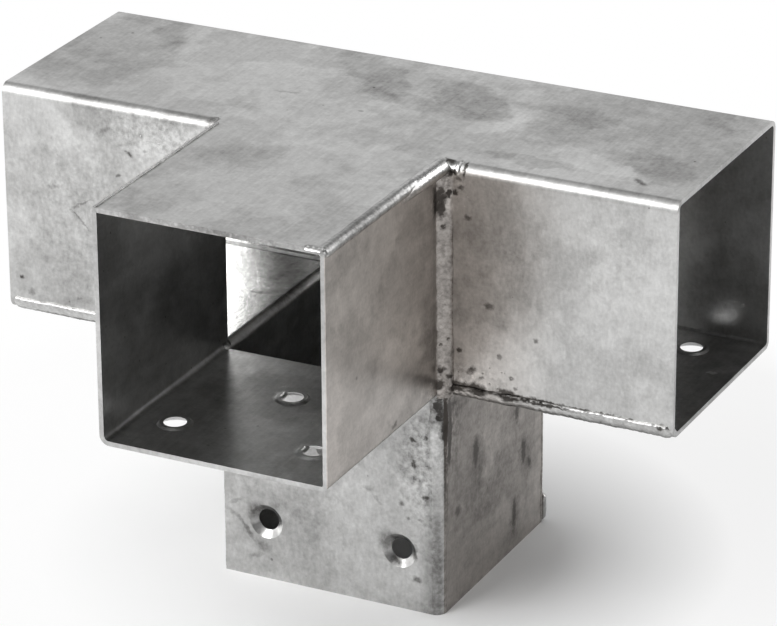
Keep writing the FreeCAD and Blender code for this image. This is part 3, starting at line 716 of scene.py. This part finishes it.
# %% [markdown]
# ## Weld beads
# The solid model has each weld as a plain run of metal. On the real one, each pass of the torch leaves an
# overlapping crescent, so a bead is a rounded ridge with ripples a millimetre or two apart, and it wavers
# in width and in line. All beads follow the same rule, so one Geometry Nodes tree makes them: it starts
# from a closed rod, squashes it to the bead's section, lets noise waver it, raises the crescents on the
# outer side and tapers both ends. Length, width, rise and ripple are named inputs, and each bead has its
# own seed. A bead lies over its plain run, a fraction of a millimetre proud.

# %% How a Geometry Nodes tree begins and ends
def tree_with(name, sizes):
    """A Geometry Nodes tree that has one number input for each named size, and its finish."""
    tree = bpy.data.node_groups.new(name, "GeometryNodeTree")
    tree.is_modifier = True
    tree.interface.new_socket("Geometry", in_out="OUTPUT", socket_type="NodeSocketGeometry")
    tree.interface.new_socket("Geometry", in_out="INPUT", socket_type="NodeSocketGeometry")
    for size in sizes:
        tree.interface.new_socket(size, in_out="INPUT", socket_type="NodeSocketFloat")
    tree.interface.new_socket("Finish", in_out="INPUT", socket_type="NodeSocketMaterial")
    return tree, add(tree, "NodeGroupInput").outputs


def end_tree(tree, mesh, finish):
    """Every tree ends the same way: smooth faces, real mesh instead of instances, and the finish."""
    smooth = add(tree, "GeometryNodeSetShadeSmooth", mesh)
    real = add(tree, "GeometryNodeRealizeInstances", smooth)
    add(tree, "NodeGroupOutput", add(tree, "GeometryNodeSetMaterial", {"Geometry": real, "Material": finish}))


# %% The bead tree: a closed rod
# It stands along Z, with radius 1 and height 1. X is across the bead and +Y its outer side
ROUND_STEPS = 28
ALONG_STEP = 0.35 * MM

bead_tree, size = tree_with("weld bead", ("Length", "Width", "Rise", "Sunk", "Ripple", "Pitch", "Waver", "Seed"))
tree = bead_tree
steps = add(tree, MATH, size["Length"], ALONG_STEP, operation="DIVIDE")
rod = add(tree, "GeometryNodeMeshCylinder", {"Vertices": ROUND_STEPS, "Radius": 1.0, "Depth": 1.0,
                                             "Side Segments": steps})
across, outer, share = add(tree, SPLIT, add(tree, "GeometryNodeInputPosition")).outputs
along = add(tree, RANGE, share, -0.5, 0.5, 0.0, size["Length"])
print("inputs of a bead:", [item.name for item in tree.interface.items_tree if item.in_out == "INPUT"])

# %% Its waver and its ends
# Slow noise wavers the width, the rise and the line. Both ends close over about a third of the width
WAVER_SIZE = 6 * MM
END_SHARE, END_NARROW = 0.35, 0.45

slow_spot = add(tree, JOIN, along, size["Seed"])
slow = add(tree, NOISE, {"Vector": slow_spot, "Scale": 1 / WAVER_SIZE, "Detail": 2.0}).outputs["Color"]
slow = add(tree, VECTOR_MATH, slow, (0.5, 0.5, 0.5), operation="SUBTRACT")
slow = add(tree, VECTOR_MATH, {0: slow, "Scale": size["Waver"]}, operation="SCALE")
wider, higher, aside = add(tree, SPLIT, slow).outputs
to_far_end = add(tree, MATH, size["Length"], along, operation="SUBTRACT")
to_end = add(tree, MATH, along, to_far_end, operation="MINIMUM")
third = add(tree, MATH, size["Width"], END_SHARE, operation="MULTIPLY")
taper = add(tree, RANGE, to_end, 0.0, third, END_NARROW, 1.0, interpolation_type="SMOOTHERSTEP")
print("nodes so far:", len(tree.nodes))

# %% Its crescents and skin
# Crescents are saw-toothed waves that bend back at the sides. The Wave texture's bands lie this far apart
WAVE_PERIOD = math.pi / 10
SKIN_SIZE = 1.7 * MM
SKIN_SHARE = 1.6

bend = add(tree, MATH, across, across, operation="MULTIPLY")
bend = add(tree, MATH, bend, third, along, operation="MULTIPLY_ADD")
turns = add(tree, MATH, bend, size["Pitch"], operation="DIVIDE")
wave_spot = add(tree, JOIN, add(tree, MATH, turns, WAVE_PERIOD, operation="MULTIPLY"), size["Seed"])
crescents = add(tree, "ShaderNodeTexWave", {"Vector": wave_spot, "Scale": 1.0, "Distortion": 5.0, "Detail": 1.0,
                                            "Detail Scale": 0.6}, wave_type="BANDS", bands_direction="X",
                wave_profile="SAW").outputs["Fac"]
real_size = add(tree, JOIN, size["Width"], size["Rise"], 1.0)
skin_spot = add(tree, VECTOR_MATH, add(tree, JOIN, across, outer, along), real_size, slow_spot,
                operation="MULTIPLY_ADD")
skin = add(tree, NOISE, {"Vector": skin_spot, "Scale": 1 / SKIN_SIZE, "Detail": 2.0})
bumps = add(tree, MATH, skin, SKIN_SHARE, crescents, operation="MULTIPLY_ADD")
bumps = add(tree, MATH, bumps, 0.5 + 0.5 * SKIN_SHARE, operation="SUBTRACT")
bumps = add(tree, MATH, bumps, size["Ripple"], operation="MULTIPLY")
lift = add(tree, MATH, bumps, add(tree, MATH, outer, 0.0, operation="MAXIMUM"), operation="MULTIPLY")
print("nodes so far:", len(tree.nodes))

# %% The rod takes its section
# How far the line strays, in widths
STRAY = 0.3

half_width = add(tree, MATH, wider, 0.5, 0.5, operation="MULTIPLY_ADD")
half_width = add(tree, MATH, half_width, size["Width"], operation="MULTIPLY")
middle = add(tree, MATH, add(tree, MATH, aside, STRAY, operation="MULTIPLY"), size["Width"], operation="MULTIPLY")
new_x = add(tree, MATH, across, half_width, operation="MULTIPLY")
new_x = add(tree, MATH, new_x, taper, middle, operation="MULTIPLY_ADD")
on_outer_side = add(tree, MATH, outer, 0.0, operation="GREATER_THAN")
depth = add(tree, MIX, {0: on_outer_side, 2: size["Sunk"], 3: size["Rise"]})
height = add(tree, MATH, add(tree, MATH, higher, 1.0, operation="ADD"), depth, operation="MULTIPLY")
new_y = add(tree, MATH, outer, height, lift, operation="MULTIPLY_ADD")
new_y = add(tree, MATH, new_y, taper, operation="MULTIPLY")
kept = rod
for name, value in (("ripple", crescents), ("side", add(tree, MATH, across, operation="ABSOLUTE"))):
    kept = add(tree, "GeometryNodeStoreNamedAttribute", {"Geometry": kept, "Name": name, "Value": value},
               data_type="FLOAT", domain="POINT")
moved = add(tree, "GeometryNodeSetPosition", {"Geometry": kept, "Position": add(tree, JOIN, new_x, new_y, along)})
end_tree(tree, moved, size["Finish"])
print("bead tree nodes:", len(tree.nodes))


# %% Growing and placing what a tree makes
def grown(tree, name, sizes):
    """Runs a tree once. What it made becomes the plain mesh of a new object."""
    piece = in_scene(name, bpy.data.meshes.new(name))
    modifier = piece.modifiers.new(tree.name, "NODES")
    modifier.node_group = tree
    for item in tree.interface.items_tree:
        if item.in_out == "INPUT" and item.name in sizes:
            modifier[item.identifier] = sizes[item.name]
    evaluated = piece.evaluated_get(bpy.context.evaluated_depsgraph_get())
    piece.data = bpy.data.meshes.new_from_object(evaluated)
    piece.data.name = name
    piece.modifiers.clear()
    return piece


def placed(piece, start, along, outward):
    """Moves the mesh so that its Z runs along and its +Y faces outward, from a start in mm."""
    along, outward = Vector(along).normalized(), Vector(outward).normalized()
    across = outward.cross(along)
    turned = Matrix((across, outward, along)).transposed().to_4x4()
    piece.data.transform(Matrix.Translation(Vector(start) * MM) @ turned)
    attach(piece, "root")


# %% [markdown]
# ## Where each bead runs
# On an outside corner the two sheets stop short of each other, and the bead's middle lies a little inside
# the corner, so that both its toes just reach the faces. In the two upright inner corners it fills the
# corner instead. The pits and burnt places of the beads are marks of the weld material, in the same
# millimetres.

# %% Beads, in millimetres
# name: start, end, outward,
#       width, rise, how far its back is sunk, ripple, pitch, waver
BEADS = {
    "right_arm_front": ((37.4, -35.75, 76.95), (112.4, -35.75, 76.95), (0, -1, -1),
                        6.3, 1.7, 0.8, 0.16, 2.6, 0.5),
    "left_arm_front": ((-112.4, -35.7, 76.9), (-36.4, -35.7, 76.9), (0, -1, -1),
                       6.6, 1.6, 0.9, 0.12, 2.2, 0.35),
    "right_arm_back": ((37.6, 36.12, 76.38), (112.4, 36.12, 76.38), (0, 1, -1),
                       3.9, 1.17, 0.3, 0.12, 1.6, 0.3),
    "left_arm_back": ((-112.4, 36.12, 76.38), (-37.6, 36.12, 76.38), (0, 1, -1),
                      3.9, 1.17, 0.3, 0.12, 1.6, 0.3),
    "post_front_right": ((34.9, -34.9, 36), (35.5, -35.5, 78), (1, -1, 0),
                         6.0, 1.7, 0.3, 0.14, 2.1, 0.4),
    "post_back_right": ((36.12, 36.12, 0.1), (36.12, 36.12, 77), (1, 1, 0),
                        3.9, 1.17, 0.3, 0.12, 1.7, 0.3),
    "post_back_left": ((-36.12, 36.12, 0.1), (-36.12, 36.12, 77), (-1, 1, 0),
                       3.9, 1.17, 0.3, 0.12, 1.7, 0.3),
    "post_front_left": ((-37.5, -36, 0.2), (-37.5, -36, 73), (-1, 0, 0),
                        2.9, 0.5, 0.3, 0.12, 1.7, 0.4),
    "branch_top_left": ((-37.1, -112.3, 149.2), (-37.1, -37.6, 149.2), (-1, 0, 0.8),
                        2.9, 0.75, 0.3, 0.1, 1.9, 0.4),
    "branch_top_right": ((36.18, -112.3, 148.68), (36.18, -40, 148.68), (1, 0, 1),
                         3.9, 1.3, 0.3, 0.05, 2.4, 0.3),
    "branch_top_curl": ((34.9, -68, 147.1), (38.1, -35.8, 148.8), (1, -0.1, 1),
                        5.3, 1.8, 0.5, 0.03, 2.4, 0.1),
    "right_inner_corner": ((39.3, -39.3, 75.2), (38.9, -38.9, 148.6), (1, -1, 0),
                           5.8, 1.0, 0.4, 0.14, 1.9, 0.4),
    "left_inner_corner": ((-39.3, -39.3, 75.2), (-39.3, -39.3, 147.4), (-1, -1, 0),
                          5.8, 0.9, 0.4, 0.14, 1.7, 0.3),
    "right_notch": ((40.4, -35.8, 148.2), (44.4, -35.8, 148.2), (0, -1, 1),
                    5.0, 1.45, 0.3, 0.04, 2.5, 0.5),
    "left_notch": ((-41.4, -35.72, 148.22), (-37, -35.72, 148.22), (0, -1, 1),
                   5.2, 1.4, 0.3, 0.1, 1.5, 0.4),
    "branch_mouth_blob": ((30.6, -111.9, 149.7), (37, -111.7, 149.6), (0, -0.6, 1),
                          2.4, 0.5, 0.6, 0.2, 1.6, 0.6),
    "relief_blob": ((-38.6, -38.4, 76.3), (-34.4, -37.4, 76.3), (0, -1, 1),
                    3.4, 1.3, 0.8, 0.15, 1.6, 0.5),
    "far_screw_rim": ((-3.6, -60.2, 76.4), (-3.0, -64.6, 76.4), (-0.3, 0, 1),
                      2.6, 0.7, 0.6, 0.15, 1.4, 0.5),
    "near_screw_rim": ((19.4, -90.4, 76.4), (19.9, -95.2, 76.4), (-0.3, 0, 1),
                       2.8, 0.7, 0.6, 0.15, 1.4, 0.5),
    "zinc_run": ((36.9, 36.9, 0.4), (36.9, 36.9, 9.5), (1, 1, 0),
                 3.2, 1.5, 0.6, 0.1, 5.0, 0.6),
}

# %% The beads
for seed, (name, row) in enumerate(BEADS.items()):
    start, end, outward, width, rise, sunk, ripple, pitch, waver = row
    run = Vector(end) - Vector(start)
    bead = grown(bead_tree, f"bead_{name}", {
        "Length": run.length * MM, "Width": width * MM, "Rise": rise * MM, "Sunk": sunk * MM,
        "Ripple": ripple * MM, "Pitch": pitch * MM, "Waver": waver, "Seed": float(seed), "Finish": weld_zinc})
    placed(bead, start, run, outward)
print("beads:", len(BEADS))

# %% [markdown]
# ## Spatter
# A torch throws out fine drops that freeze on the sheets beside the weld, and the zinc wraps each one in a
# low pimple. They are random and many, so a second tree scatters flattened little balls of a few dozen
# faces over a small rectangle.

# %% The spatter tree
# A drop's height, in radii
DROP_HEIGHT = 0.4

spatter_tree, size = tree_with("spatter", ("Length", "Width", "Density", "Smallest", "Largest", "Seed"))
tree = spatter_tree
patch = add(tree, "GeometryNodeMeshGrid", {"Size X": size["Width"], "Size Y": size["Length"], "Vertices X": 2,
                                           "Vertices Y": 2})
spots = add(tree, "GeometryNodeDistributePointsOnFaces", {"Mesh": patch, "Density": size["Density"],
                                                          "Seed": size["Seed"]})
girth = add(tree, "FunctionNodeRandomValue", {2: size["Smallest"], 3: size["Largest"], "Seed": size["Seed"]},
            data_type="FLOAT").outputs[1]
flattened = add(tree, JOIN, girth, girth, add(tree, MATH, girth, DROP_HEIGHT, operation="MULTIPLY"))
ball = add(tree, "GeometryNodeMeshIcoSphere", {"Radius": 1.0, "Subdivisions": 2})
drops = add(tree, "GeometryNodeInstanceOnPoints", {"Points": spots, "Instance": ball, "Scale": flattened})
end_tree(tree, drops, size["Finish"])
print("spatter tree nodes:", len(tree.nodes))

# %% Spatter beside the welds
SMALLEST_DROP, LARGEST_DROP = 0.15 * MM, 0.42 * MM
SQUARE_CM_IN_SQUARE_M = 1e4
# name: centre, direction of its length, outward, length, width (mm), drops to the square cm
SPATTER = {
    "right_arm_foot": ((51, -37.5, 83.5), (1, 0, 0), (0, -1, 0), 20, 7, 9),
    "right_arm_corner": ((44.5, -37.5, 139), (0, 0, 1), (0, -1, 0), 12, 4, 8),
    "branch_foot": ((37.5, -47, 80), (0, 1, 0), (1, 0, 0), 10, 6, 8),
    "post_front": ((30, -37.5, 52), (0, 0, 1), (0, -1, 0), 40, 7, 6),
    "post_side": ((37.5, -29, 66), (0, 0, 1), (1, 0, 0), 14, 6, 8),
    "left_arm_corner": ((-56, -37.5, 141), (1, 0, 0), (0, -1, 0), 24, 8, 7),
    "left_branch": ((-37.5, -46, 110), (0, 0, 1), (-1, 0, 0), 60, 8, 4),
}
for seed, (name, (centre, along, outward, length, width, density)) in enumerate(SPATTER.items()):
    drops = grown(spatter_tree, f"spatter_{name}", {
        "Length": length * MM, "Width": width * MM, "Density": density * SQUARE_CM_IN_SQUARE_M,
        "Smallest": SMALLEST_DROP, "Largest": LARGEST_DROP, "Seed": seed, "Finish": weld_zinc})
    drops.data.transform(Matrix.Rotation(math.radians(90), 4, "X"))
    placed(drops, centre, along, outward)
print("spatter patches:", len(SPATTER))
